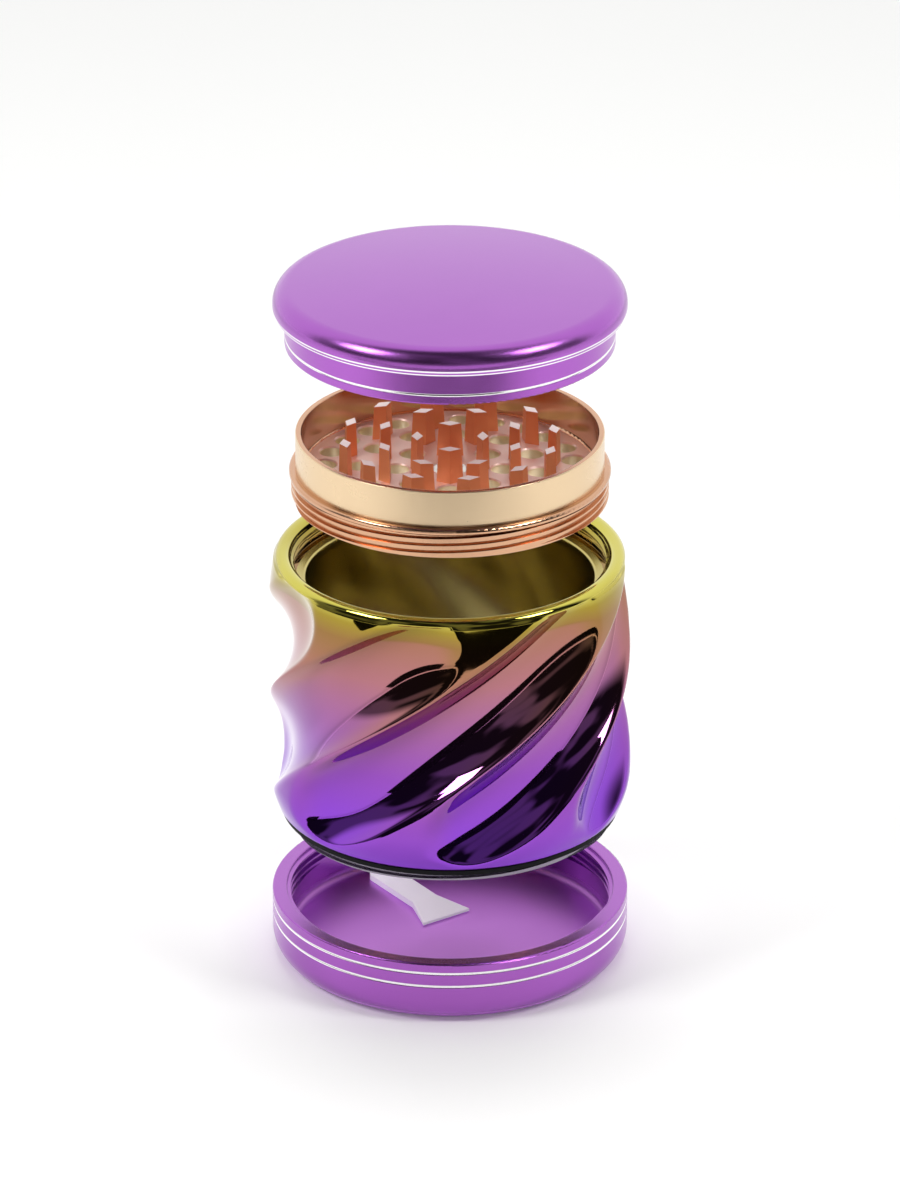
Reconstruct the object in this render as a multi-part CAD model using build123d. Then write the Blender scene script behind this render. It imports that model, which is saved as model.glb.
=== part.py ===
from build123d import *
import math
import os

# Hand-held herb and spice grinder in four tiers: a lid, a toothed chamber, a fluted glass body and
# a tray. All sizes are in millimetres. The tray stands on z = 0, the common axis is Z, and the tiers
# are shown lifted apart. Lowered by the four raise values, they close into one grinder.

# Gaps between pieces
seat_gap = 0.10  # between faces that close onto each other
bond_gap = 0.02  # around a piece that is pressed or glued in
seal_gap = 0.15  # around a seal that lies in its own groove
collar_gap = 0.35  # between the turning lid and the collar

# Tray
tray_diameter = 63.0
tray_wall = 2.55
tray_height = 11.8
tray_floor = 2.0
tray_edge_round = 4.4
tray_rim_outer_round = 0.35
tray_rim_inner_round = 0.25
tray_floor_round = 1.4
line_width = 0.45  # bright-cut lines on the tray and the lid
line_depth = 0.22
tray_line_drops = (1.9, 4.4)  # below the rim

# Screw threads: three starts, cut as triangular ridges with a flat crest
thread_pitch = 1.3
thread_starts = 3
thread_depth = 0.6
thread_gap = 0.25  # radial, at crest and at root
thread_sink = 0.25  # how far a ridge is rooted in its wall
ridge_base = 0.70
ridge_crest = 0.30
thread_lead = thread_pitch * thread_starts

# Foot of the glass: a threaded ring, its gasket and the sieve
foot_thread_height = 4.2
foot_thread_drop = 0.5  # plain mouth above the tray's thread
ring_thread_height = 1.7
gasket_thickness = 0.8
gasket_reach = 0.35  # how far the gasket stays inside the edge of the glass
sleeve_step = 1.95  # from the root of the ring's thread in to the sleeve
sleeve_wall = 1.3
sleeve_height = 3.5
mesh_thickness = 0.3
retainer_thickness = 0.7
retainer_width = 1.7
sieve_seat = 1.1  # width of the ledge that carries the sieve

# Glass body
glass_height = 47.5
glass_foot_land = 1.25  # how far the foot stands out over the tray's bore
glass_swell = 1.6  # from the foot out to the waist
glass_swell_height = 6.5  # where the foot reaches full width
glass_neck = 1.3  # from the waist in to the rim
glass_neck_height = 13.5  # how far below the rim the body starts to narrow
glass_rim_wall = 2.75
glass_ledge = 2.65  # the ledge in the mouth that the chamber's seal rests on
glass_rim_round = 1.25
glass_foot_round = 0.9
mouth_thread_height = 2.9
mouth_thread_drop = 1.0
flute_count = 7
flute_depth = 4.4
flute_ball = 10.0  # radius of the flute's round section
flute_low = 4.7  # height of the flutes' lower ends
flute_drop = 3.8  # from the rim down to their upper ends
flute_low_ease = 4.5  # how suddenly a flute ends, below and above
flute_high_ease = 3.6
flute_steps = 8  # path points in each half of a flute
flute_twist = 101.0  # turn of one flute from its lower to its upper end, degrees
flute_start = -92.0  # angle of one flute at mid height, degrees from +X

# Grinding chamber
chamber_height = 12.0
collar_step = 0.2  # from the root of the flange's thread in to the collar
collar_wall = 1.0
collar_rim_round = 0.2
collar_floor_round = 0.5
chamber_flange_height = 4.3  # threaded part, below the shoulder
chamber_shoulder = 1.2
shoulder_round = 0.55
shoulder_sink = 0.2  # how far the shoulder dips below the rim of the glass when closed
shoulder_reach = 0.1  # how far the shoulder lies over the rim of the glass
chamber_floor_height = 4.9  # top of the floor above the chamber's underside
chamber_floor = 2.0
chamber_skirt_wall = 2.3
chamber_seal_wall = 0.65  # between the seal's groove and the inside of the flange
chamber_seal_width = 0.9
chamber_seal_height = 0.9
seal_proud = 0.2
tooth_radial = 2.4
tooth_tangential = 4.7
tooth_taper = 0.82  # size of a tooth's top over its base
tooth_height = 6.1
tooth_rings = ((0.117, 4, 0.0), (0.403, 8, 22.5), (0.674, 12, 10.0))  # place, count, first angle
hole_rings = ((0.273, 8, 0.0), (0.555, 12, -5.0), (0.830, 24, -5.0))
# A ring's place is its share of the way from the magnet out to the inside of the collar.
hole_diameter = 4.2
hole_bevel = 0.25
chamber_magnet_diameter = 6.0
chamber_magnet_height = 1.5

# Lid
lid_skirt_wall = 1.35
lid_skirt_round = 0.3
lid_overhang = 2.0  # from the skirt out to the cap
lid_height = 11.6
lid_skirt_height = 5.9
lid_dome_rise = 1.5
lid_edge_round = 3.0
lid_line_height = 1.7
lid_bevel_width = 0.4
lid_bevel_height = 1.0
lid_skirt_gap = 0.2  # above the chamber's shoulder when closed
glide_width = 0.9
glide_height = 1.0
plate_step = 0.9  # from the inside of the collar in to the tooth plate
plate_thickness = 1.2
lid_tooth_rings = ((0.260, 6, 15.0), (0.537, 8, 0.0), (0.846, 12, 12.0))
lid_tooth_clearance = 0.9  # between the lid's teeth and the chamber floor
post_diameter = 6.8
post_round = 0.3
post_clearance = 1.0
lid_magnet_diameter = 5.0
lid_magnet_height = 3.2

# Scraper
scraper_length = 21.5
scraper_width = 5.2
scraper_blade_width = 10.0
scraper_blade_length = 6.8
scraper_thickness = 1.1
scraper_edge_thickness = 0.5
scraper_end_round = 1.6
scraper_gap = 0.05  # above the tray floor
scraper_angle = 125.0  # direction of its narrow end, degrees from +X
scraper_end_gap = 2.65  # from its narrow end to the wall of the tray
scraper_end_angle = 119.6  # where its narrow end lies, degrees from +X

# How far each tier is lifted off the one below
glass_raise = 16.4
chamber_raise = 14.9
lid_raise = 23.0

# Radii and heights that follow from the sizes above
tray_radius = tray_diameter / 2
foot_root = tray_radius - tray_wall
ring_crest = foot_root - thread_gap
ring_root = ring_crest - thread_depth
gasket_z = tray_height + seat_gap + glass_raise
glass_z = gasket_z + gasket_thickness + seat_gap
ring_z = gasket_z - seat_gap - ring_thread_height
sleeve_radius = ring_root - sleeve_step
ring_bore = sleeve_radius - sleeve_wall
sieve_radius = ring_bore + sieve_seat
glass_foot = foot_root + glass_foot_land
glass_waist = glass_foot + glass_swell
glass_rim = glass_waist - glass_neck
mouth_root = glass_rim - glass_rim_wall
glass_inside = mouth_root - glass_ledge
neck_z = glass_height - glass_neck_height
flute_high = glass_height - flute_drop
flange_crest = mouth_root - thread_gap
flange_root = flange_crest - thread_depth
rim_z = glass_z + glass_height
mouth_depth = chamber_flange_height + shoulder_sink + seal_proud + seat_gap
ledge_z = rim_z - mouth_depth
chamber_z = ledge_z + seat_gap + seal_proud + chamber_raise
collar_outer = flange_root - collar_step
collar_inner = collar_outer - collar_wall
seal_inner = flange_root - chamber_skirt_wall + chamber_seal_wall
floor_z = chamber_z + chamber_floor_height
shoulder_radius = mouth_root + shoulder_reach
lid_z = chamber_z + chamber_flange_height + chamber_shoulder + lid_skirt_gap + lid_raise
lid_roof_z = chamber_z + chamber_height + lid_raise + seat_gap + seal_proud
skirt_inner = collar_outer + collar_gap
skirt_outer = skirt_inner + lid_skirt_wall
lid_radius = skirt_outer + lid_overhang
plate_radius = collar_inner - plate_step


def turned(corners, rounds=None, arcs=None):
    """A solid turned about Z from (radius, height) corners.

    rounds gives a fillet radius for a corner, and arcs a point that the side after a corner
    passes through."""
    points = [Vector(r, 0, z) for r, z in corners]
    sides = []
    for i, start in enumerate(points):
        end = points[(i + 1) % len(points)]
        if arcs and i in arcs:
            via = Vector(arcs[i][0], 0, arcs[i][1])
            sides.append(Edge.make_three_point_arc(start, via, end))
        else:
            sides.append(Edge.make_line(start, end))
    face = Face(Wire(sides))
    for i, radius in (rounds or {}).items():
        corner = min(face.vertices(), key=lambda v: (Vector(*v) - points[i]).length)
        face = face.fillet_2d(radius, [corner])
    return Solid.revolve(face, 360, Axis.Z)


def tube(inner, outer, low, high):
    """A plain ring about Z."""
    return turned([(inner, low), (outer, low), (outer, high), (inner, high)])


def groove(radius, height):
    """Cutter for one bright-cut line around a wall of the given radius."""
    half = line_width / 2
    deep = radius - line_depth
    beyond = radius + 1.0
    slope = half * (1.0 + line_depth)
    return turned(
        [(deep, height - half / 2), (radius, height - slope), (beyond, height - slope),
         (beyond, height + slope), (radius, height + slope), (deep, height + half / 2)]
    )


def thread(root, low, high, outward, offset):
    """The ridges of one thread on a wall of radius root, between two heights.

    All threads lie on one endless helix, so offset = 0 and offset = half a pitch interleave."""
    side = 1 if outward else -1
    sunk = root - side * thread_sink
    crest = root + side * thread_depth
    base, top = ridge_base / 2, ridge_crest / 2
    base += (base - top) * thread_sink / thread_depth
    span = high - low + 2 * thread_pitch
    band = tube(min(sunk, crest) - 0.1, max(sunk, crest) + 0.1, low, high)
    ridges = []
    for start in range(thread_starts):
        turn = (low - thread_pitch - offset) / thread_lead * 360 + start * 360 / thread_starts
        path = Edge.make_helix(thread_lead, span, root)
        section = Wire.make_polygon(
            [Vector(sunk, 0, -base), Vector(sunk, 0, base), Vector(crest, 0, top),
             Vector(crest, 0, -top)]
        )
        ridge = Solid.sweep(section, path=path, is_frenet=True)
        ridge = ridge.moved(Location((0, 0, low - thread_pitch), (0, 0, turn)))
        ridges.append(ridge & band)
    return ridges


def around(count, first=0.0):
    """Evenly spaced angles in degrees."""
    return [first + 360 * k / count for k in range(count)]


def polar(radius, angle, z=0.0):
    """A point at a radius and an angle in degrees."""
    return Vector(radius * math.cos(math.radians(angle)), radius * math.sin(math.radians(angle)), z)


def tooth(length, down=False):
    """A rhombic tooth that stands on z = 0 and tapers to its free end."""
    ends = []
    for scale, z in ((1.0, 0.0), (tooth_taper, -length if down else length)):
        x, y = scale * tooth_radial / 2, scale * tooth_tangential / 2
        corners = [Vector(x, 0, z), Vector(0, y, z), Vector(-x, 0, z), Vector(0, -y, z)]
        ends.append(Wire.make_polygon(corners))
    return Solid.make_loft(ends, ruled=True)


def ring_radius(place):
    """Radius of a ring of teeth or holes, from its place between the magnet and the collar."""
    magnet = chamber_magnet_diameter / 2
    return magnet + place * (collar_inner - magnet)


def teeth(rings, length, z, down=False):
    """All the teeth of one plate, rooted a little way into it."""
    root = 0.3
    shape = tooth(length + root, down)
    base = z + root if down else z - root
    return [
        shape.moved(Location(polar(ring_radius(place), angle, base), (0, 0, angle)))
        for place, count, first in rings
        for angle in around(count, first)
    ]


def fused(body, pieces):
    """One body with its pieces joined on."""
    return body.fuse(*pieces).clean()


def make_tray():
    """The tray: a turned dish with an inside thread and two bright lines."""
    body = turned(
        [(0, 0), (tray_radius, 0), (tray_radius, tray_height), (foot_root, tray_height),
         (foot_root, tray_floor), (0, tray_floor)],
        {1: tray_edge_round, 2: tray_rim_outer_round, 3: tray_rim_inner_round, 4: tray_floor_round},
    )
    for drop in tray_line_drops:
        body = body - groove(tray_radius, tray_height - drop)
    top = tray_height - foot_thread_drop
    return fused(body, thread(foot_root, top - foot_thread_height, top, False, 0.0))


def make_foot_gasket():
    """The black gasket between the glass and the tray's rim."""
    outer = glass_foot - gasket_reach
    return tube(ring_root + seal_gap, outer, gasket_z, gasket_z + gasket_thickness)


def make_screen_ring():
    """The threaded metal ring under the glass, with a sleeve that is glued into its foot."""
    seat_z = ring_z + retainer_thickness + mesh_thickness
    top_z = glass_z + sleeve_height
    body = turned(
        [(sieve_radius, ring_z), (ring_root, ring_z), (ring_root, glass_z),
         (sleeve_radius, glass_z), (sleeve_radius, top_z), (ring_bore, top_z),
         (ring_bore, seat_z), (sieve_radius, seat_z)]
    )
    high = ring_z + ring_thread_height
    return fused(body, thread(ring_root, ring_z, high, True, thread_pitch / 2))


def make_mesh_screen():
    """The sieve, as a thin disc."""
    low = ring_z + retainer_thickness
    return Solid.make_cylinder(sieve_radius - bond_gap, mesh_thickness, Plane((0, 0, low)))


def make_screen_retainer():
    """The ring pressed in under the sieve."""
    outer = sieve_radius - bond_gap
    return tube(outer - retainer_width, outer, ring_z, ring_z + retainer_thickness)


def glass_radius(z):
    """Radius of the glass over its ridges at a height."""
    if z < glass_swell_height:
        return glass_waist - glass_swell * (1 - z / glass_swell_height) ** 2
    if z > neck_z:
        return glass_waist - glass_neck * ((z - neck_z) / glass_neck_height) ** 2
    return glass_waist


def flute_cutter():
    """A round bar that dips into the glass along one flute and rises out of it at both ends."""
    points = []
    for k in range(-flute_steps, flute_steps + 1):
        along = 0.58 * k / flute_steps
        z = (flute_low + flute_high) / 2 + along * (flute_high - flute_low)
        ease = flute_low_ease if along < 0 else flute_high_ease
        depth = flute_depth * (1 - abs(2 * along) ** ease)
        points.append(polar(glass_radius(z) + flute_ball - depth, flute_start + flute_twist * along, z))
    path = Edge.make_spline(points)
    end = Plane(origin=path @ 0, z_dir=path % 0)
    return Solid.sweep(Wire.make_circle(flute_ball, end), path=path)


def make_glass():
    """The glass body: a turned blank with scooped flutes and a threaded mouth."""
    sleeve = sleeve_radius + bond_gap
    ledge = glass_height - mouth_depth
    swell = glass_swell_height
    shoulder = (neck_z + glass_height) / 2
    sleeve_top = sleeve_height + seat_gap
    blank = turned(
        [(sleeve, 0), (glass_foot, 0), (glass_waist, swell), (glass_waist, neck_z),
         (glass_rim, glass_height), (mouth_root, glass_height), (mouth_root, ledge),
         (glass_inside, ledge), (glass_inside, sleeve_top), (sleeve, sleeve_top)],
        {1: glass_foot_round, 4: glass_rim_round, 5: glass_rim_round},
        {1: (glass_radius(swell / 2), swell / 2), 3: (glass_radius(shoulder), shoulder)},
    )
    cutter = flute_cutter()
    flutes = [cutter.moved(Location((0, 0, 0), (0, 0, turn))) for turn in around(flute_count)]
    glass = blank.cut(*flutes).moved(Location((0, 0, glass_z)))
    top = rim_z - mouth_thread_drop
    return fused(glass, thread(mouth_root, top - mouth_thread_height, top, False, 0.0))


def make_chamber():
    """The grinding chamber, cast in one: collar, floor, teeth and threaded flange."""
    z = chamber_z
    under = flange_root - chamber_skirt_wall
    shoulder_low = z + chamber_flange_height
    shoulder_high = shoulder_low + chamber_shoulder
    groove_top = z + chamber_seal_height
    groove_outer = seal_inner + chamber_seal_width + 2 * seal_gap
    rim = z + chamber_height
    body = turned(
        [(0, floor_z - chamber_floor), (under, floor_z - chamber_floor), (under, z),
         (seal_inner, z), (seal_inner, groove_top), (groove_outer, groove_top), (groove_outer, z),
         (flange_root, z), (flange_root, shoulder_low), (shoulder_radius, shoulder_low),
         (shoulder_radius, shoulder_high), (collar_outer, shoulder_high), (collar_outer, rim),
         (collar_inner, rim), (collar_inner, floor_z), (0, floor_z)],
        {9: shoulder_round, 10: shoulder_round, 12: collar_rim_round, 13: collar_rim_round,
         14: collar_floor_round},
    )
    cuts = [
        Solid.make_cylinder(
            chamber_magnet_diameter / 2, chamber_magnet_height, Plane((0, 0, floor_z - chamber_magnet_height))
        )
    ]
    hole = hole_diameter / 2
    drill = turned(
        [(0, floor_z - chamber_floor - 0.5), (hole, floor_z - chamber_floor - 0.5),
         (hole, floor_z - hole_bevel), (hole + hole_bevel, floor_z),
         (hole + hole_bevel, floor_z + 0.2), (0, floor_z + 0.2)]
    )
    for place, count, first in hole_rings:
        radius = ring_radius(place)
        cuts += [drill.moved(Location(polar(radius, angle))) for angle in around(count, first)]
    body = body.cut(*cuts)
    body = fused(body, teeth(tooth_rings, tooth_height, floor_z))
    return fused(body, thread(flange_root, z + 0.4, shoulder_low - 0.15, True, thread_pitch / 2))


def make_chamber_magnet():
    """The magnet in the middle of the chamber floor."""
    low = Plane((0, 0, floor_z - chamber_magnet_height))
    return Solid.make_cylinder(chamber_magnet_diameter / 2 - bond_gap, chamber_magnet_height, low)


def make_chamber_gasket():
    """The clear seal under the chamber's flange."""
    inner = seal_inner + seal_gap
    low = chamber_z - seal_proud
    return tube(inner, inner + chamber_seal_width, low, chamber_z + chamber_seal_height - seal_gap)


def make_lid_shell():
    """The lid: a domed cap with a bevelled edge, over a narrower skirt with one bright line."""
    radius, skirt, plate = lid_radius, skirt_outer, plate_radius
    glide_inner, glide_outer = glide_radii()
    edge_z = lid_z + lid_height - lid_dome_rise
    top_z = lid_z + lid_height
    step_z = lid_z + lid_skirt_height
    groove_top = lid_roof_z + glide_height - seal_proud + seal_gap
    dome = (radius**2 + lid_dome_rise**2) / (2 * lid_dome_rise)  # radius of the domed top
    body = turned(
        [(0, lid_roof_z + plate_thickness), (plate, lid_roof_z + plate_thickness),
         (plate, lid_roof_z), (glide_inner - seal_gap, lid_roof_z),
         (glide_inner - seal_gap, groove_top), (glide_outer + seal_gap, groove_top),
         (glide_outer + seal_gap, lid_roof_z), (skirt_inner, lid_roof_z), (skirt_inner, lid_z),
         (skirt, lid_z), (skirt, step_z), (radius - lid_bevel_width, step_z),
         (radius, step_z + lid_bevel_height), (radius, edge_z), (0, top_z)],
        {8: lid_skirt_round, 9: lid_skirt_round, 13: lid_edge_round},
        {13: (radius / 2, top_z - dome + math.sqrt(dome**2 - radius**2 / 4))},
    )
    return body - groove(skirt, lid_z + lid_line_height)


def glide_radii():
    """Inner and outer radius of the glide ring, which runs on the chamber's collar."""
    middle = (collar_inner + collar_outer) / 2
    return middle - glide_width / 2, middle + glide_width / 2


def make_glide_ring():
    """The plastic ring that the lid turns on."""
    inner, outer = glide_radii()
    low = lid_roof_z - seal_proud
    return tube(inner, outer, low, low + glide_height)


def make_tooth_plate():
    """The plate pressed into the lid, with its teeth and the post for the magnet."""
    plate = plate_radius - bond_gap
    post = post_diameter / 2
    magnet = lid_magnet_diameter / 2
    floor_gap = lid_roof_z - (floor_z + lid_raise)
    tip = lid_roof_z - floor_gap + post_clearance
    body = turned(
        [(0, lid_roof_z + plate_thickness), (0, tip + lid_magnet_height),
         (magnet, tip + lid_magnet_height), (magnet, tip), (post, tip), (post, lid_roof_z),
         (plate, lid_roof_z), (plate, lid_roof_z + plate_thickness)],
        {4: post_round},
    )
    length = floor_gap - lid_tooth_clearance
    return fused(body, teeth(lid_tooth_rings, length, lid_roof_z, down=True))


def make_lid_magnet():
    """The magnet in the end of the lid's post."""
    low = Plane((0, 0, floor_z + lid_raise + post_clearance))
    return Solid.make_cylinder(lid_magnet_diameter / 2 - bond_gap, lid_magnet_height, low)


def make_scraper():
    """The plastic scraper that lies in the tray: a flat strip with a flared, thinned blade."""
    half, blade = scraper_width / 2, scraper_blade_width / 2
    outline = Wire.make_polygon(
        [Vector(0, -blade), Vector(0, blade), Vector(scraper_blade_length, half),
         Vector(scraper_length, half), Vector(scraper_length, -half),
         Vector(scraper_blade_length, -half)]
    )
    face = Face(outline)
    ends = [v for v in face.vertices() if v.X > scraper_length - 0.1]
    face = face.fillet_2d(scraper_end_round, ends)
    strip = Solid.extrude(face, Vector(0, 0, scraper_thickness))
    slope = Wire.make_polygon(
        [Vector(-1, -9, scraper_edge_thickness), Vector(0, -9, scraper_edge_thickness),
         Vector(scraper_blade_length, -9, scraper_thickness), Vector(scraper_blade_length, -9, 3),
         Vector(-1, -9, 3)]
    )
    strip = strip - Solid.extrude(Face(slope), Vector(0, 18, 0))
    end = polar(foot_root - scraper_end_gap, scraper_end_angle, tray_floor + scraper_gap)
    start = end - polar(scraper_length, scraper_angle)
    return strip.moved(Location(start, (0, 0, scraper_angle)))


pieces = {
    "tray": make_tray,
    "foot_gasket": make_foot_gasket,
    "screen_ring": make_screen_ring,
    "mesh_screen": make_mesh_screen,
    "screen_retainer": make_screen_retainer,
    "glass_body": make_glass,
    "chamber_gasket": make_chamber_gasket,
    "grinding_chamber": make_chamber,
    "chamber_magnet": make_chamber_magnet,
    "lid_glide_ring": make_glide_ring,
    "lid_shell": make_lid_shell,
    "lid_tooth_plate": make_tooth_plate,
    "lid_magnet": make_lid_magnet,
    "scraper": make_scraper,
}

os.makedirs("parts", exist_ok=True)
for name, make in pieces.items():
    export_step(make(), f"parts/{name}.step")
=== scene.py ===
import math

import bpy
import numpy as np
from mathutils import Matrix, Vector


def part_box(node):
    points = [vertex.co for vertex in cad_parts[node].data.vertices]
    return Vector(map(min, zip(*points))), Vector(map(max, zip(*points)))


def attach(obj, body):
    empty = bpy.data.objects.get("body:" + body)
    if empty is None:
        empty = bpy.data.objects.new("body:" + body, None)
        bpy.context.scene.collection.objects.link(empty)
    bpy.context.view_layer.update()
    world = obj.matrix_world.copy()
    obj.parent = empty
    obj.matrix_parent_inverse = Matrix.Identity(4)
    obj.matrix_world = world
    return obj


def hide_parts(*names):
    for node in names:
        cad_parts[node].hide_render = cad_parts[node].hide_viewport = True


# Four-tier herb grinder: purple anodised lid and tray, rose-gold chamber and a fluted glass body
# plated gold to violet. Lengths are in metres, and MM turns a size in millimetres into metres.

MM = 0.001
FULL_TURN = 2 * math.pi

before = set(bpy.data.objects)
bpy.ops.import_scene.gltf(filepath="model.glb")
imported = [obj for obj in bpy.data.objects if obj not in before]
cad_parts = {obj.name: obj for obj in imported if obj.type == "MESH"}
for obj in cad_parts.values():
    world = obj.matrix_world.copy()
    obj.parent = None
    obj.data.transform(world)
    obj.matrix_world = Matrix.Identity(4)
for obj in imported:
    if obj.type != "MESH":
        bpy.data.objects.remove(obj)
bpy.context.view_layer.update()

# Heights of the pieces, from the frame
TRAY_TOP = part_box("tray")[1].z
GLASS_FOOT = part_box("glass_body")[0].z
GLASS_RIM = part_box("glass_body")[1].z
CHAMBER_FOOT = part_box("grinding_chamber")[0].z
LID_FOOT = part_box("lid_shell")[0].z


# --- Shader helpers -----------------------------------------------------------------------------

def link(tree, socket, value):
    """Feeds a socket from another socket, or sets it to a plain value."""
    if isinstance(value, bpy.types.NodeSocket):
        tree.links.new(value, socket)
    else:
        socket.default_value = value


def add(tree, kind, inputs=None, **settings):
    """A node with its settings and inputs. Inputs are named or numbered."""
    node = tree.nodes.new(kind)
    for name, value in settings.items():
        setattr(node, name, value)
    for key, value in (inputs or {}).items():
        link(tree, node.inputs[key], value)
    return node


def maths(tree, operation, a, b=0.0):
    """One step of arithmetic on numbers or sockets."""
    return add(tree, "ShaderNodeMath", {0: a, 1: b}, operation=operation).outputs[0]


def ramp(tree, value, low, high, to_low=0.0, to_high=1.0, smooth=True):
    """value taken from low..high to to_low..to_high, and held there outside."""
    node = add(
        tree, "ShaderNodeMapRange",
        {"Value": value, "From Min": low, "From Max": high, "To Min": to_low, "To Max": to_high},
        interpolation_type="SMOOTHSTEP" if smooth else "LINEAR",
    )
    return node.outputs["Result"]


def blend_colours(tree, factor, a, b):
    """Colour a at factor 0 and colour b at factor 1."""
    node = add(tree, "ShaderNodeMix", data_type="RGBA")
    link(tree, node.inputs[0], factor)
    link(tree, node.inputs[6], a)
    link(tree, node.inputs[7], b)
    return node.outputs[2]


def noise(tree, vector, scale, detail=3.0):
    """Soft noise from 0 to 1 at a number of cells per metre."""
    inputs = {"Vector": vector, "Scale": scale, "Detail": detail}
    return add(tree, "ShaderNodeTexNoise", inputs).outputs["Fac"]


def rings(tree, along, spacing):
    """Uneven bands from 0 to 1 along one coordinate, about spacing apart."""
    inputs = {"W": along, "Scale": 1 / spacing, "Detail": 2.0}
    return add(tree, "ShaderNodeTexNoise", inputs, noise_dimensions="1D").outputs["Fac"]


def rgb(red, green, blue):
    """A linear colour with full alpha."""
    return (red, green, blue, 1.0)


NOISE_SPAN = (0.3, 0.7)  # the part of the noise that roughness uses
BAND_EDGE = 0.02 * MM
LATHE_MARKS = 0.1 * MM


class Finish:
    """A material under construction, with the place on the piece as sockets."""

    def __init__(self, name, **constants):
        self.material = bpy.data.materials.new(name)
        self.material.use_nodes = True
        self.tree = self.material.node_tree
        self.shader = self.tree.nodes["Principled BSDF"]
        self.place = add(self.tree, "ShaderNodeTexCoord").outputs["Object"]
        split = add(self.tree, "ShaderNodeSeparateXYZ", {0: self.place})
        self.z = split.outputs[2]
        flat = self.vector_step("MULTIPLY", self.place, (1, 1, 0)).outputs["Vector"]
        self.radius = self.vector_step("LENGTH", flat).outputs["Value"]
        for socket, value in constants.items():
            self.shader.inputs[socket.replace("_", " ")].default_value = value

    def vector_step(self, operation, a, b=(0, 0, 0)):
        """One step of vector arithmetic."""
        return add(self.tree, "ShaderNodeVectorMath", {0: a, 1: b}, operation=operation)

    def set(self, socket, value):
        """Feeds or sets a socket of the shader."""
        link(self.tree, self.shader.inputs[socket], value)

    def step(self, value, low, high):
        """0 at low and 1 at high, whichever of them is the larger."""
        return ramp(self.tree, value, low, high)

    def both(self, a, b):
        """The product of two masks, or of a mask and a number."""
        return maths(self.tree, "MULTIPLY", a, b)

    def band(self, middle, width):
        """1 within a band of height around middle, 0 outside."""
        away = maths(self.tree, "ABSOLUTE", maths(self.tree, "SUBTRACT", self.z, middle))
        return self.step(away, width / 2 + BAND_EDGE, width / 2)

    def colour(self, factor, a, b):
        """Sets the base colour between two colours, by a socket from 0 to 1."""
        self.set("Base Color", blend_colours(self.tree, factor, a, b))

    def roughness(self, factor, low, high, *extras):
        """Sets the roughness from noise, plus an amount where each (mask, amount) holds."""
        rough = ramp(self.tree, factor, *NOISE_SPAN, low, high)
        for mask, amount in extras:
            rough = maths(self.tree, "ADD", rough, self.both(mask, amount))
        self.set("Roughness", rough)

    def bump(self, height, distance):
        """Sets a bump normal from a height socket."""
        node = add(self.tree, "ShaderNodeBump", {"Height": height, "Distance": distance})
        self.set("Normal", node.outputs["Normal"])

    def dress(self, *names):
        """Gives the finish to CAD nodes."""
        for name in names:
            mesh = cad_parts[name].data
            mesh.materials.clear()
            mesh.materials.append(self.material)


# --- Finishes -----------------------------------------------------------------------------------

BRIGHT_ALUMINIUM = rgb(0.93, 0.92, 0.93)
MASK_EDGE = 0.1 * MM  # width over which one finish gives way to another


def anodised(name, lines, inside_radius, dish_height):
    """Purple satin anodising with bright-cut lines at the given (height, width) bands.

    Lines lie outside inside_radius. Below dish_height inside it, the metal is a rougher satin, and
    is painted paler as painted light against the shade of the pieces above."""
    f = Finish(name, Metallic=1.0, Coat_Weight=0.35, Coat_Roughness=0.30)
    tree = f.tree
    outside = f.step(f.radius, inside_radius, inside_radius + MASK_EDGE)
    cut = 0.0
    for height, width in lines:
        cut = maths(tree, "MAXIMUM", cut, f.band(height, width))
    cut = f.both(cut, outside)
    low = f.step(f.z, dish_height + 1.0 * MM, dish_height)
    painted_light_dish = f.both(low, maths(tree, "SUBTRACT", 1.0, outside))
    mottle = noise(tree, f.place, 90, detail=4)
    deep = blend_colours(tree, mottle, rgb(0.37, 0.100, 0.50), rgb(0.42, 0.122, 0.55))
    # Painted light: the tray's floor is painted paler here, against the shade that the pieces above
    # cast on it.
    deep = blend_colours(tree, painted_light_dish, deep, rgb(0.60, 0.20, 0.76))
    f.colour(cut, deep, BRIGHT_ALUMINIUM)
    f.roughness(mottle, 0.23, 0.27, (painted_light_dish, 0.16), (cut, -0.14))
    f.bump(rings(tree, f.radius, 0.12 * MM), 0.0006 * MM)
    return f


def rubber():
    """Matt black rubber."""
    f = Finish("black_rubber", Specular_IOR_Level=0.1)
    dust = noise(f.tree, f.place, 700, detail=5)
    f.colour(dust, rgb(0.003, 0.003, 0.004), rgb(0.010, 0.010, 0.012))
    f.roughness(dust, 0.48, 0.62)
    f.bump(dust, 0.01 * MM)
    return f


def ring_metal():
    """Turned metal with a lilac cast."""
    f = Finish("ring_metal", Metallic=1.0)
    stain = noise(f.tree, f.place, 160)
    f.colour(stain, rgb(0.20, 0.17, 0.23), rgb(0.31, 0.28, 0.34))
    f.roughness(stain, 0.22, 0.34)
    f.bump(rings(f.tree, f.radius, LATHE_MARKS), 0.003 * MM)
    return f


def steel_wire():
    """Steel wire of the sieve."""
    f = Finish("sieve_mesh", Metallic=1.0)
    stain = noise(f.tree, f.place, 300)
    f.colour(stain, rgb(0.50, 0.49, 0.46), rgb(0.68, 0.67, 0.63))
    f.roughness(stain, 0.25, 0.40)
    return f


def clear_seal():
    """Milky silicone."""
    f = Finish("clear_seal", Roughness=0.35, Subsurface_Weight=0.4, Subsurface_Scale=0.001)
    cloud = noise(f.tree, f.place, 400)
    f.colour(cloud, rgb(0.70, 0.70, 0.67), rgb(0.82, 0.82, 0.79))
    f.bump(cloud, 0.004 * MM)
    return f


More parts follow.
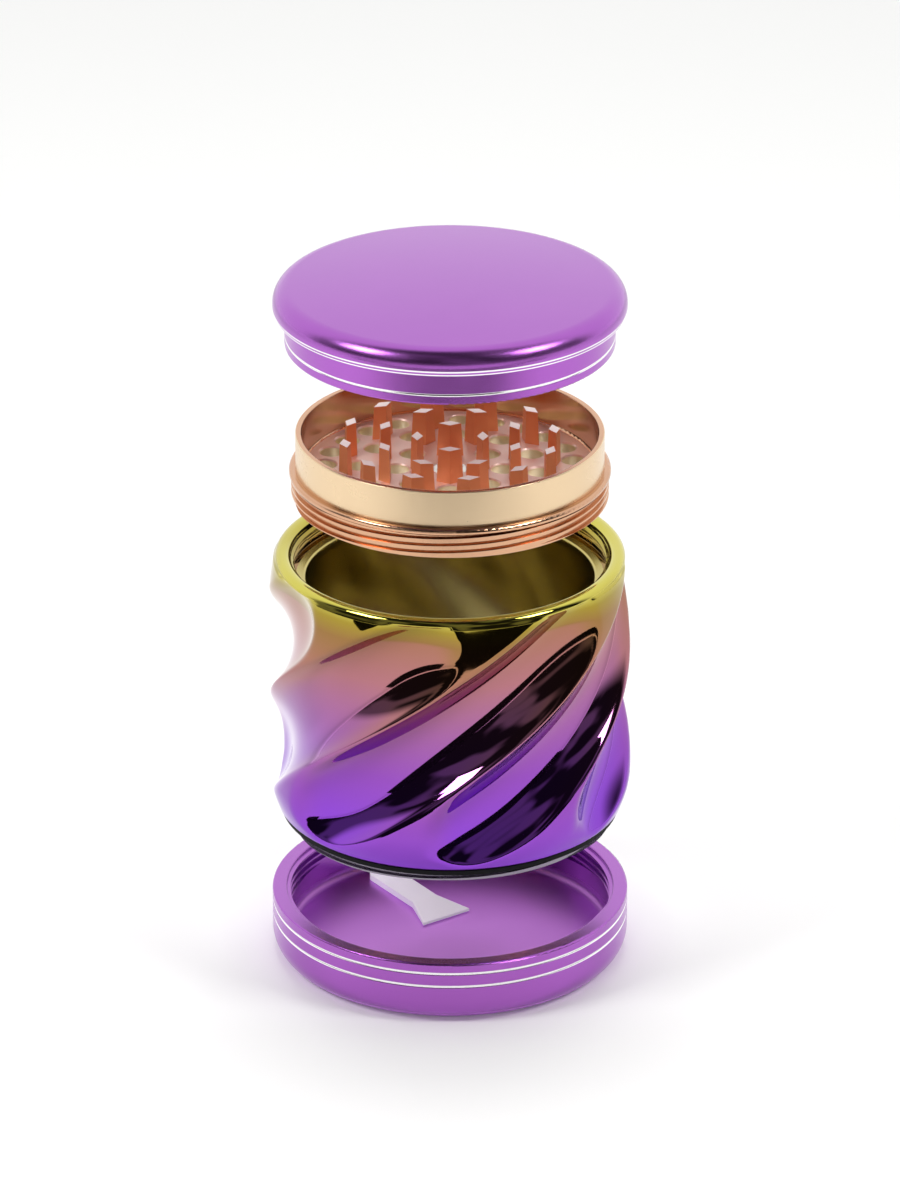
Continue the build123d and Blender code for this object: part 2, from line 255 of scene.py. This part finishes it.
def nickel():
    """Scratched nickel plate."""
    f = Finish("magnet_nickel", Metallic=1.0)
    scratch = noise(f.tree, f.place, 900, detail=6)
    f.colour(scratch, rgb(0.62, 0.60, 0.56), rgb(0.76, 0.75, 0.71))
    f.roughness(scratch, 0.10, 0.22)
    f.bump(scratch, 0.002 * MM)
    return f


def acetal():
    """White acetal."""
    f = Finish("glide_plastic")
    cloud = noise(f.tree, f.place, 300)
    f.colour(cloud, rgb(0.78, 0.78, 0.75), rgb(0.86, 0.86, 0.84))
    f.roughness(cloud, 0.26, 0.38)
    return f


def frosted():
    """Frosted polypropylene, with a faint painted glow: painted light that lightens it in the shade
    of the glass.
    """
    # Painted light: the emission is a painted glow against the glass's shadow over the scraper, not
    # light passing through it.
    f = Finish("frosted_plastic", IOR=1.49, Emission_Strength=0.28)
    f.set("Emission Color", rgb(0.84, 0.76, 0.92))
    cloud = noise(f.tree, f.place, 240, detail=5)
    # The base colour is the frosted plastic's pale colour, set paler still as painted light against
    # the same shadow.
    f.colour(cloud, rgb(0.80, 0.72, 0.86), rgb(0.90, 0.84, 0.95))
    f.roughness(cloud, 0.40, 0.55)
    f.bump(noise(f.tree, f.place, 5000), 0.004 * MM)
    return f


def rose_gold_plate():
    """Rose-gold plate on the lid's teeth."""
    f = Finish("plate_rose_gold", Metallic=1.0)
    stain = noise(f.tree, f.place, 120, detail=4)
    f.colour(stain, rgb(0.80, 0.40, 0.25), rgb(0.86, 0.46, 0.30))
    f.roughness(stain, 0.18, 0.28)
    f.bump(rings(f.tree, f.radius, LATHE_MARKS), 0.002 * MM)
    return f


# Places on the grinding chamber
CHAMBER_FLOOR = CHAMBER_FOOT + 4.9 * MM
TOOTH_TOP = CHAMBER_FLOOR + 6.1 * MM
SHOULDER_TOP = CHAMBER_FOOT + 5.5 * MM
COLLAR_INSIDE = 25.7 * MM
COLLAR_OUTSIDE = 26.7 * MM
BRUSH_MARKS = MM / 12
FACE_EDGE = 0.06 * MM  # how far a flat face's finish reaches above or below it


def chamber_rose_gold():
    """Rose gold on the chamber: peach collar, pink floor, orange teeth and copper threads."""
    f = Finish("chamber_rose_gold")
    tree = f.tree
    stain = noise(tree, f.place, 120, detail=4)
    outer = f.step(f.radius, COLLAR_OUTSIDE - 2 * MASK_EDGE, COLLAR_OUTSIDE - MASK_EDGE)
    collar = f.both(outer, f.step(f.z, SHOULDER_TOP, SHOULDER_TOP + MASK_EDGE))
    inner = f.step(f.radius, COLLAR_INSIDE - 2 * MASK_EDGE, COLLAR_INSIDE - 3 * MASK_EDGE)
    floor_face = f.both(inner, f.step(f.z, CHAMBER_FLOOR + FACE_EDGE, CHAMBER_FLOOR))
    teeth = f.both(inner, f.step(f.z, CHAMBER_FLOOR, CHAMBER_FLOOR + FACE_EDGE))
    tops = f.both(inner, f.step(f.z, TOOTH_TOP - FACE_EDGE, TOOTH_TOP - FACE_EDGE / 2))
    # Painted light: the walls of the holes below the floor are painted pale cream, against the
    # shade and dark glass that they face.
    painted_light_bores = f.step(f.z, CHAMBER_FLOOR - 2 * MASK_EDGE, CHAMBER_FLOOR - 3 * MASK_EDGE)
    colour = blend_colours(tree, stain, rgb(0.58, 0.32, 0.19), rgb(0.70, 0.42, 0.27))
    for mask, paint in (
        (collar, rgb(0.78, 0.59, 0.38)),
        (floor_face, rgb(0.94, 0.68, 0.60)),
        (teeth, rgb(0.92, 0.36, 0.17)),
        (f.both(inner, painted_light_bores), rgb(0.95, 0.80, 0.55)),
    ):
        colour = blend_colours(tree, mask, colour, paint)
    f.colour(tops, colour, rgb(0.95, 0.82, 0.80))
    f.set("Metallic", ramp(tree, inner, 0.0, 1.0, 1.0, 0.5, smooth=False))
    f.roughness(stain, 0.14, 0.20, (collar, 0.12), (floor_face, 0.22), (teeth, 0.22))
    f.bump(rings(tree, f.z, BRUSH_MARKS), 0.001 * MM)
    return f


# Colours of the plating, by share of the height of the glass
PLATING = (
    (0.00, rgb(0.24, 0.055, 0.57)),
    (0.20, rgb(0.27, 0.068, 0.45)),
    (0.40, rgb(0.34, 0.115, 0.32)),
    (0.58, rgb(0.40, 0.155, 0.185)),
    (0.76, rgb(0.37, 0.16, 0.105)),
    (0.89, rgb(0.30, 0.16, 0.05)),
    (0.95, rgb(0.34, 0.25, 0.03)),
    (1.00, rgb(0.62, 0.56, 0.10)),
)


PLATING_DRIFT = 3.0 * MM  # how far the colours wander up and down
HOLLOW_SHIFT = 0.12  # how much lower on the fade the hollows of the flutes are
HOLLOW_RADII = (31.2 * MM, 28.5 * MM)  # where the shift starts and is full
MOUTH_EDGE = (GLASS_RIM - 4.8 * MM, GLASS_RIM - 5.6 * MM)  # and the heights
INSIDE_RADII = (26.9 * MM, 26.7 * MM)  # where the inside's gold starts and is full


def plated_glass():
    """Vacuum-plated mirror that fades from gold at the rim to violet at the foot."""
    f = Finish("plated_glass", Metallic=1.0, Coat_Weight=0.15, Coat_Roughness=0.03)
    tree = f.tree
    drift = f.both(noise(tree, f.place, 35, detail=2), PLATING_DRIFT)
    height = maths(tree, "ADD", maths(tree, "SUBTRACT", f.z, PLATING_DRIFT / 2), drift)
    share = ramp(tree, height, GLASS_FOOT, GLASS_RIM, smooth=False)
    hollow = f.both(f.step(f.radius, *HOLLOW_RADII), f.step(f.z, *MOUTH_EDGE))
    share = maths(tree, "SUBTRACT", share, f.both(hollow, HOLLOW_SHIFT))
    fade = add(tree, "ShaderNodeValToRGB", {0: share})
    stops = fade.color_ramp.elements
    while len(stops) < len(PLATING):
        stops.new(0.5)
    for stop, (place, colour) in zip(stops, PLATING):
        stop.position = place
        stop.color = colour
    within = f.step(f.radius, *INSIDE_RADII)
    f.colour(within, fade.outputs[0], rgb(0.56, 0.46, 0.15))
    ripple = noise(tree, f.place, 160, detail=2)
    f.roughness(ripple, 0.03, 0.06, (within, 0.18))
    f.bump(ripple, 0.008 * MM)
    return f


# --- Geometry -----------------------------------------------------------------------------------

def mesh_piece(name, points, faces, finish, body):
    """A smooth-shaded mesh that rides on a body."""
    mesh = bpy.data.meshes.new(name)
    mesh.from_pydata(points, [], faces)
    mesh.polygons.foreach_set("use_smooth", [True] * len(mesh.polygons))
    mesh.materials.append(finish.material)
    mesh.update()
    piece = bpy.data.objects.new(name, mesh)
    bpy.context.scene.collection.objects.link(piece)
    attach(piece, body)
    return piece


def grid_faces(rows, columns):
    """Quads of a grid that closes on itself both ways."""
    row, column = np.meshgrid(np.arange(rows), np.arange(columns), indexing="ij")
    up, along = (row + 1) % rows, (column + 1) % columns
    corners = ((row, column), (row, along), (up, along), (up, column))
    return np.stack([(r * columns + c).ravel() for r, c in corners], axis=1).tolist()


# Sizes of the glass in millimetres, as in the CAD model
GLASS_HEIGHT = (GLASS_RIM - GLASS_FOOT) / MM
FOOT_RADIUS = 30.2
WAIST_RADIUS = 31.8
RIM_RADIUS = 30.5
SWELL = 6.5  # height over which the foot widens
NECK = 13.5  # height over which the body narrows to the rim
MOUTH_RADIUS = 27.75
LEDGE_DROP = 4.8
INSIDE_RADIUS = 25.1
SLEEVE_RADIUS = 26.17
SLEEVE_TOP = 3.6
RIM_ROUND = 1.25
FOOT_ROUND = 0.9
FLUTES = 7
FLUTE_DEPTH = 4.4
FLUTE_BALL = 10.0
FLUTE_LOW = 4.7
FLUTE_HIGH = GLASS_HEIGHT - 3.8
FLUTE_TWIST = math.radians(101.0)
FLUTE_START = math.radians(-92.0)
THREAD_PITCH = 1.3
THREAD_LEAD = 3 * THREAD_PITCH
THREAD_DEPTH = 0.6
THREAD_DROP = 1.0
THREAD_HEIGHT = 2.9

# How the fluted skin is drawn
FLUTE_EASE = 8.0  # how suddenly a flute ends
PATH_REACH = 0.58  # how far a flute's path runs from its middle, as a share of its height
PATH_POINTS = 100
TWIST_REACH = 0.62  # where the mesh stops following the twist
SOFT_EDGE = 1.4  # blend over the upper left edge of a flute
CRISP_EDGE = 0.6  # and over its lower right edge
BISECTIONS = 16
SEARCH_INSIDE = 1.5  # how far the search reaches inside the deepest flute
SEARCH_OUTSIDE = 0.5  # and outside the plain wall
SECTOR_COLUMNS = 56
FLUTE_ROW = 0.3
THREAD_ROW = 0.12
INNER_ROW = 1.5
INNER_WAVE = 0.40  # how far the inside wall follows the flutes
INNER_FADE = 6.0
THREAD_FADE = 0.4  # height over which the ridges of the thread rise and end
THREAD_HALF_WIDTH = 0.37  # of a ridge at its foot
THREAD_FLANK = 0.2


def outer_radius(z):
    """Radius over the ridges at a height above the foot."""
    low = WAIST_RADIUS - (WAIST_RADIUS - FOOT_RADIUS) * np.clip(1 - z / SWELL, 0, 1) ** 2
    neck = np.clip((z - (GLASS_HEIGHT - NECK)) / NECK, 0, 1)
    return low - (WAIST_RADIUS - RIM_RADIUS) * neck**2


def twist(z):
    """Angle of a flute's middle line at a height, held beyond its ends."""
    along = (z - (FLUTE_LOW + FLUTE_HIGH) / 2) / (FLUTE_HIGH - FLUTE_LOW)
    return FLUTE_TWIST * np.clip(along, -TWIST_REACH, TWIST_REACH)


def flute_path():
    """Points along the middle of the round tool that scoops the flute at angle 0."""
    along = np.linspace(-PATH_REACH, PATH_REACH, PATH_POINTS)
    z = (FLUTE_LOW + FLUTE_HIGH) / 2 + along * (FLUTE_HIGH - FLUTE_LOW)
    depth = FLUTE_DEPTH * (1 - np.abs(2 * along) ** FLUTE_EASE)
    return outer_radius(z) + FLUTE_BALL - depth, FLUTE_TWIST * along, z


def path_distance(radius, angle, z):
    """Distance to the nearest flute's path, measured between its points as well."""
    path_radius, path_angle, path_z = flute_path()
    best = np.full(radius.shape, np.inf)
    for turn in range(-1, 3):
        turned = np.cos(angle[..., None] - path_angle - turn * FULL_TURN / FLUTES)
        gap = radius[..., None] ** 2 + path_radius**2 - 2 * radius[..., None] * path_radius * turned
        gap += (z[..., None] - path_z) ** 2
        middle = np.clip(gap.argmin(axis=-1), 1, gap.shape[-1] - 2)[..., None]
        before, here, after = (np.take_along_axis(gap, middle + k, -1)[..., 0] for k in (-1, 0, 1))
        bend = np.maximum(before - 2 * here + after, 1e-9)
        step = np.clip((before - after) / (2 * bend), -1, 1)
        best = np.minimum(best, here + step * (after - before) / 2 + bend * step**2 / 2)
    return np.sqrt(np.maximum(best, 0))


def scooped(angle, z):
    """Radius of the fluted wall at angles and heights, found by bisection on its distance field."""
    wall = outer_radius(z)
    leaning = np.clip(2 * np.sin(FLUTES * (angle - twist(z))), -1, 1)
    edge = CRISP_EDGE + (SOFT_EDGE - CRISP_EDGE) * (1 - leaning) / 2
    low, high = wall - FLUTE_DEPTH - SEARCH_INSIDE, wall + SEARCH_OUTSIDE
    for _ in range(BISECTIONS):
        radius = (low + high) / 2
        inside = radius - wall
        scoop = FLUTE_BALL - path_distance(radius, angle, z)
        meet = np.maximum(edge - np.abs(inside - scoop), 0) / edge
        field = np.maximum(inside, scoop) + edge * meet**2 / 4
        high = np.where(field > 0, radius, high)
        low = np.where(field > 0, low, radius)
    return (low + high) / 2


def arc(centre, radius_r, radius_z, start, steps):
    """Plain rows along a quarter round, from start degrees, without its first point."""
    turns = np.radians(np.linspace(start, start + 90, steps + 1)[1:])
    r, z = centre
    return [("plain", r + radius_r * math.cos(t), z + radius_z * math.sin(t)) for t in turns]


def glass_profile():
    """Rows of the glass as (kind, radius, height), from the inner foot out, up and back down."""
    foot = FOOT_RADIUS - FOOT_ROUND
    foot_top = outer_radius(np.array(FOOT_ROUND)).item()
    rim = GLASS_HEIGHT - RIM_ROUND
    ledge = GLASS_HEIGHT - LEDGE_DROP
    rows = [("plain", r, 0.0) for r in (SLEEVE_RADIUS, SLEEVE_RADIUS + 0.15, foot - 0.1, foot)]
    rows += arc((foot, FOOT_ROUND), foot_top - foot, FOOT_ROUND, -90, 8)
    rows += [("flute", 0.0, float(z)) for z in np.arange(FOOT_ROUND, rim, FLUTE_ROW)[1:]]
    rows += arc((RIM_RADIUS - RIM_ROUND, rim), RIM_ROUND, RIM_ROUND, 0, 10)
    rows += arc((MOUTH_RADIUS + RIM_ROUND, rim), RIM_ROUND, RIM_ROUND, 90, 10)
    mouth = np.arange(rim, ledge + 0.1, -THREAD_ROW)[1:]
    rows += [("thread", MOUTH_RADIUS, float(z)) for z in mouth]
    rows += [("plain", MOUTH_RADIUS, ledge + 0.06), ("plain", MOUTH_RADIUS - 0.06, ledge)]
    rows += [("plain", INSIDE_RADIUS + 0.5, ledge), ("plain", INSIDE_RADIUS + 0.15, ledge - 0.03)]
    inside = np.arange(ledge - 0.2, SLEEVE_TOP + 0.3, -INNER_ROW)
    rows += [("inner", INSIDE_RADIUS, float(z)) for z in inside]
    rows += [("plain", INSIDE_RADIUS, SLEEVE_TOP + 0.05)]
    rows += [("plain", INSIDE_RADIUS + 0.05, SLEEVE_TOP)]
    return rows + [("plain", SLEEVE_RADIUS, z) for z in (SLEEVE_TOP, SLEEVE_TOP - 0.1, 0.1)]


def ridge(angle, z):
    """Height of the mouth's thread ridges at angles and heights."""
    turn = (GLASS_FOOT / MM + z - angle / FULL_TURN * THREAD_LEAD) / THREAD_PITCH
    away = np.abs(turn - np.round(turn)) * THREAD_PITCH
    top = GLASS_HEIGHT - THREAD_DROP
    fade = np.clip((top - z) / THREAD_FADE, 0, 1)
    fade *= np.clip((z - (top - THREAD_HEIGHT)) / THREAD_FADE, 0, 1)
    return THREAD_DEPTH * fade * np.clip((THREAD_HALF_WIDTH - away) / THREAD_FLANK, 0, 1)


def inner_wave(angle, z):
    """How far the inside wall stands out behind the ridges, at angles and heights."""
    wave = 1 - np.cos(FLUTES * (angle - twist(z)))
    low = np.clip((z - SLEEVE_TOP) / INNER_FADE, 0, 1)
    high = np.clip((GLASS_HEIGHT - INNER_FADE - z) / INNER_FADE, 0, 1)
    return INNER_WAVE * wave / 2 * low * high


def fluted_glass(finish):
    """The glass body as one closed skin that follows the flutes."""
    rows = glass_profile()
    kinds, flat, height = (np.array(column) for column in zip(*rows))
    columns = SECTOR_COLUMNS * FLUTES
    sector = np.arange(SECTOR_COLUMNS) / columns * FULL_TURN
    z, shift = np.meshgrid(height, sector, indexing="ij")
    angle = twist(z) + shift
    radius = np.repeat(flat[:, None], SECTOR_COLUMNS, axis=1)
    outer = kinds == "flute"
    radius[outer] = scooped(angle[outer], z[outer])
    inner = kinds == "inner"
    radius[inner] += inner_wave(angle[inner], z[inner])
    turns = np.arange(FLUTES) / FLUTES * FULL_TURN
    angle = np.concatenate([angle + t for t in turns], axis=1) + FLUTE_START
    radius = np.concatenate([radius] * FLUTES, axis=1)
    z = np.repeat(height[:, None], columns, axis=1)
    mouth = kinds == "thread"
    radius[mouth] -= ridge(angle[mouth], z[mouth])
    above_table = z + GLASS_FOOT / MM
    points = np.stack([radius * np.cos(angle), radius * np.sin(angle), above_table], axis=-1)
    points = (points.reshape(-1, 3) * MM).tolist()
    faces = grid_faces(len(rows), columns)
    piece = mesh_piece("fluted_glass", points, faces, finish, "glass")
    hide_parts("glass_body")


SIEVE_PITCH = 0.9
WIRE_SIDES = 4
WIRE_STEPS = 3  # points along a wire from one crossing to the next


def woven_sieve(finish):
    """The sieve as two layers of crimped wires that pass over and under each other."""
    low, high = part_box("mesh_screen")
    radius, middle = high.x / MM, (low.z + high.z) / 2 / MM
    wire = (high.z - low.z) / MM / 4
    count = int(radius / SIEVE_PITCH)
    points, faces = [], []
    for direction in (0, 1):
        for n in range(-count, count + 1):
            across = n * SIEVE_PITCH
            reach = math.sqrt(max(radius**2 - across**2, 0)) - wire
            if reach < SIEVE_PITCH:
                continue
            steps = int(2 * reach / SIEVE_PITCH * WIRE_STEPS)
            along = np.linspace(-reach, reach, steps + 1)
            over = 1 if (n + direction) % 2 else -1
            lift = over * wire * np.cos(math.pi * along / SIEVE_PITCH)
            first = len(points)
            for s, z in zip(along, lift):
                for k in range(WIRE_SIDES):
                    turn = FULL_TURN * (k + 0.5) / WIRE_SIDES
                    a, b = across + wire * math.cos(turn), middle + z + wire * math.sin(turn)
                    points.append((a, s, b) if direction else (s, a, b))
            for step in range(steps):
                for k in range(WIRE_SIDES):
                    a = first + step * WIRE_SIDES + k
                    b = first + step * WIRE_SIDES + (k + 1) % WIRE_SIDES
                    face = (a, a + WIRE_SIDES, b + WIRE_SIDES, b)
                    faces.append(face if direction else face[::-1])
            start = list(range(first, first + WIRE_SIDES))
            end = list(range(len(points) - WIRE_SIDES, len(points)))
            faces += [start, end[::-1]] if direction else [start[::-1], end]
    scaled = [(x * MM, y * MM, z * MM) for x, y, z in points]
    piece = mesh_piece("woven_sieve", scaled, faces, finish, "glass")
    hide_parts("mesh_screen")


# --- Dressing the pieces ------------------------------------------------------------------------

# Bright-cut lines in millimetres: drops below the tray's rim, and the lid's (height, width) pairs
LINE_WIDTH = 0.48
TRAY_LINE_DROPS = (1.9, 4.4)
LID_BANDS = ((1.7, LINE_WIDTH), (6.05, 0.22), (6.7, 0.3))
TRAY_WALL_RADIUS = 30.5 * MM  # the lines are only outside these radii
LID_WALL_RADIUS = 27.6 * MM
TRAY_DISH_HEIGHT = 3.0 * MM

tray_lines = [(TRAY_TOP - drop * MM, LINE_WIDTH * MM) for drop in TRAY_LINE_DROPS]
lid_lines = [(LID_FOOT + height * MM, width * MM) for height, width in LID_BANDS]
anodised("tray_purple", tray_lines, TRAY_WALL_RADIUS, TRAY_DISH_HEIGHT).dress("tray")
anodised("lid_purple", lid_lines, LID_WALL_RADIUS, 0.0).dress("lid_shell")
rubber().dress("foot_gasket")
ring_metal().dress("screen_ring", "screen_retainer")
clear_seal().dress("chamber_gasket")
chamber_rose_gold().dress("grinding_chamber")
rose_gold_plate().dress("lid_tooth_plate")
nickel().dress("chamber_magnet", "lid_magnet")
acetal().dress("lid_glide_ring")
frosted().dress("scraper")
fluted_glass(plated_glass())
woven_sieve(steel_wire())


# --- Studio -------------------------------------------------------------------------------------

def staged(name, points, finish):
    """A four-cornered sheet that belongs to the studio."""
    mesh = bpy.data.meshes.new(name)
    mesh.from_pydata(points, [], [(0, 1, 2, 3)])
    mesh.materials.append(finish.material)
    sheet = bpy.data.objects.new(name, mesh)
    bpy.context.scene.collection.objects.link(sheet)
    return sheet


def floor():
    """A wide pale floor under the tray that glows more from near to far."""
    size, near, far = 6.0, 0.4, 2.5
    paper = Finish("studio_paper", Roughness=0.9)
    paper.set("Base Color", rgb(0.90, 0.90, 0.89))
    paper.set("Emission Color", rgb(1.0, 1.0, 0.99))
    paper.set("Emission Strength", ramp(paper.tree, paper.radius, near, far, 0.05, 0.80))
    corners = [(-size, -size, 0), (size, -size, 0), (size, size, 0), (-size, size, 0)]
    staged("studio_floor", corners, paper).location.z = -0.02 * MM


def dark_card():
    """A low dark card in front of the stage, seen only in reflections."""
    side, front, top = 0.45, -0.25, 0.052
    felt = Finish("card_felt", Roughness=1.0, Specular_IOR_Level=0.0)
    felt.set("Base Color", rgb(0.01, 0.01, 0.01))
    corners = [(-side, front, 0), (side, front, 0), (side, front, top), (-side, front, top)]
    card = staged("dark_card", corners, felt)
    for rays in ("camera", "diffuse", "shadow", "transmission"):
        setattr(card, "visible_" + rays, False)


def softbox(name, place, size, power):
    """An area light that faces the object."""
    lamp = bpy.data.lights.new(name, "AREA")
    lamp.shape = "RECTANGLE"
    lamp.size, lamp.size_y = size
    lamp.energy = power
    light = bpy.data.objects.new(name, lamp)
    light.location = place
    aim = Vector((0, 0, 0.06)) - Vector(place)
    light.rotation_euler = aim.to_track_quat("-Z", "Y").to_euler()
    bpy.context.scene.collection.objects.link(light)
    return light


def room():
    """A pale studio that reflections see as white behind the object and dark above the camera."""
    world = bpy.data.worlds.new("studio_room")
    world.use_nodes = True
    bpy.context.scene.world = world
    tree = world.node_tree
    way = add(tree, "ShaderNodeTexCoord").outputs["Generated"]
    split = add(tree, "ShaderNodeSeparateXYZ", {0: way})
    behind = ramp(tree, split.outputs[1], -0.05, 0.25, 0.0, 1.1)
    shapes = ramp(tree, noise(tree, way, 2.6, detail=1.0), 0.50, 0.64, 0.015, 0.22)
    seen = add(tree, "ShaderNodeLightPath").outputs["Is Camera Ray"]
    light = blend_colours(tree, seen, maths(tree, "MAXIMUM", behind, shapes), rgb(0.95, 0.95, 0.94))
    link(tree, tree.nodes["Background"].inputs["Color"], light)


def camera():
    """The camera that looks down on the stack from the front."""
    lens, distance = 206.5, 1.2
    elevation = math.radians(24.5)
    aim = Vector((0, 0, 67.0 * MM))
    back = Vector((0, -math.cos(elevation), math.sin(elevation)))
    data = bpy.data.cameras.new("camera")
    data.lens = lens
    data.clip_start, data.clip_end = 0.05, 50.0
    view = bpy.data.objects.new("camera", data)
    view.location = aim + back * distance
    view.rotation_euler = (-back).to_track_quat("-Z", "Y").to_euler()
    bpy.context.scene.collection.objects.link(view)
    bpy.context.scene.camera = view


floor()
dark_card()
room()
softbox("left_softbox", (-0.64, -0.30, 0.72), (0.30, 0.30), 3.6)
softbox("right_softbox", (0.62, -0.26, 0.74), (0.26, 0.26), 2.9)
softbox("top_softbox", (0.0, 0.25, 0.90), (0.40, 0.30), 2.2).visible_glossy = False
softbox("front_fill", (0.0, -0.95, 0.55), (0.60, 0.40), 2.0).visible_glossy = False
camera()
bpy.context.scene.view_settings.view_transform = "Standard"
